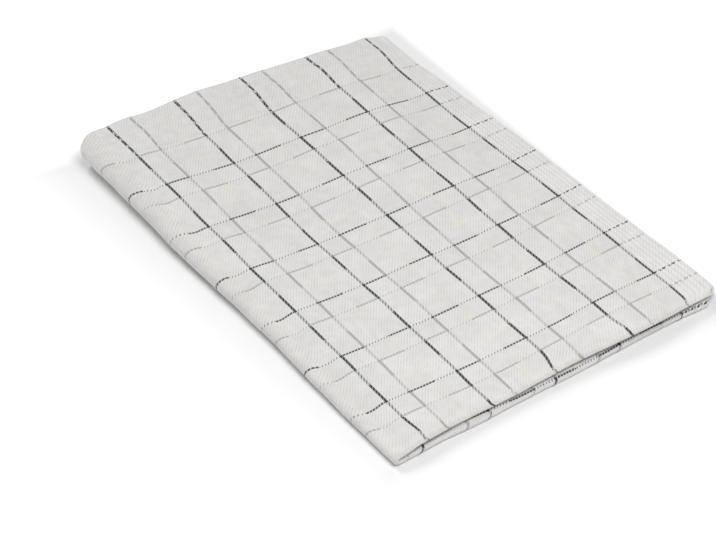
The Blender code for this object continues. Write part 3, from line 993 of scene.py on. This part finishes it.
# Setting, in metres. The floor glows faintly, and past each side of the cloth its glow
# rises along this axis by this much a metre, up to a most
WHITE = (1.0, 1.0, 1.0, 1.0)
FLOOR_SIDE = 8.0
FLOOR_COLOUR = (0.90, 0.90, 0.90, 1.0)
FLOOR_GLOW = 0.01
FLOOR_GLOW_MOST = 0.5
GlowSide = namedtuple("GlowSide", "axis sign rise")
GLOW_SIDES = (
    GlowSide(0, 1.0, 38.0),
    GlowSide(0, -1.0, 5.0),
    GlowSide(1, 1.0, 22.0),
    GlowSide(1, -1.0, 5.5),
)
WORLD_STRENGTH = 0.38
Lamp = namedtuple("Lamp", "name place side watts")
LAMPS = (
    Lamp("softbox", (-0.06, -0.44, 0.82), 0.5, 4.15),
    Lamp("key", (-0.25, 1.40, 1.45), 0.8, 12.5),
)


def floor_material():
    """A white floor, matt, with a glow that clears the shadow away from the cloth."""
    material = bpy.data.materials.new("floor")
    n = Nodes(material)
    place = n.add("ShaderNodeNewGeometry")
    position = n.split(place.outputs["Position"])
    rise = 0.0
    for side in GLOW_SIDES:
        past = n.maths("MULTIPLY", position[side.axis], side.sign)
        past = n.maths("SUBTRACT", past, CAD_BOUNDS[1][side.axis])
        rise = n.maths("MAXIMUM", rise, n.maths("MULTIPLY", past, side.rise))
    glow = n.maths("MINIMUM", n.maths("ADD", FLOOR_GLOW, rise), FLOOR_GLOW_MOST)
    n.put(n.shader.inputs["Base Color"], FLOOR_COLOUR)
    n.put(n.shader.inputs["Roughness"], 1.0)
    n.put(n.shader.inputs["Specular IOR Level"], 0.0)
    n.put(n.shader.inputs["Emission Color"], WHITE)
    n.put(n.shader.inputs["Emission Strength"], glow)
    return material


def make_floor():
    """A wide flat floor, which belongs to the studio and not to the part."""
    mesh = bpy.data.meshes.new("floor")
    half = FLOOR_SIDE / 2
    corners = [(-half, -half, 0), (half, -half, 0), (half, half, 0), (-half, half, 0)]
    mesh.from_pydata(corners, [], [tuple(range(QUAD))])
    floor = bpy.data.objects.new("floor", mesh)
    bpy.context.scene.collection.objects.link(floor)
    mesh.materials.append(floor_material())


def make_light():
    """An even white sky and the soft square lamps."""
    world = bpy.data.worlds.new("studio")
    world.use_nodes = True
    sky = world.node_tree.nodes["Background"]
    sky.inputs["Color"].default_value = WHITE
    sky.inputs["Strength"].default_value = WORLD_STRENGTH
    bpy.context.scene.world = world
    for lamp in LAMPS:
        light = bpy.data.lights.new(lamp.name, "AREA")
        light.size = lamp.side
        light.energy = lamp.watts
        holder = bpy.data.objects.new(lamp.name, light)
        holder.location = lamp.place
        holder.rotation_euler = (-Vector(lamp.place)).to_track_quat("-Z", "Y").to_euler()
        bpy.context.scene.collection.objects.link(holder)
    bpy.context.scene.view_settings.view_transform = "Standard"


# Camera: angles in degrees, and its place and the nearest that it sees in millimetres
CAMERA_AZIMUTH = -35.35
CAMERA_ELEVATION = 40.4
CAMERA_PLACE = (-846.65, -1156.09, 1188.84)
SENSOR = 36.0
IMAGE_WIDTH = 716.0
FOCAL_PIXELS = 3000.0
NEAREST = 50.0


def make_camera():
    """The camera in the photograph's place, at its angles and with its lens."""
    azimuth, elevation = math.radians(CAMERA_AZIMUTH), math.radians(CAMERA_ELEVATION)
    right = Vector((math.cos(azimuth), math.sin(azimuth), 0.0))
    level = Vector((math.sin(azimuth), -math.cos(azimuth), 0.0))
    back = level * math.cos(elevation) + Vector((0.0, 0.0, math.sin(elevation)))
    up = back.cross(right)
    data = bpy.data.cameras.new("camera")
    data.sensor_width = SENSOR
    data.lens = FOCAL_PIXELS / IMAGE_WIDTH * SENSOR
    data.clip_start = NEAREST * MM
    camera = bpy.data.objects.new("camera", data)
    turn = Matrix((right, up, back)).transposed().to_4x4()
    camera.matrix_world = Matrix.Translation(Vector(CAMERA_PLACE) * MM) @ turn
    bpy.context.scene.collection.objects.link(camera)
    bpy.context.scene.camera = camera


def main():
    make_camera()
    make_light()
    make_floor()
    cloth = make_cloth()
    cloth.data.materials.append(cloth_material())
    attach(cloth, "root")
    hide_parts("towel")
    stitches = make_stitches()
    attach(stitches, "root")


main()
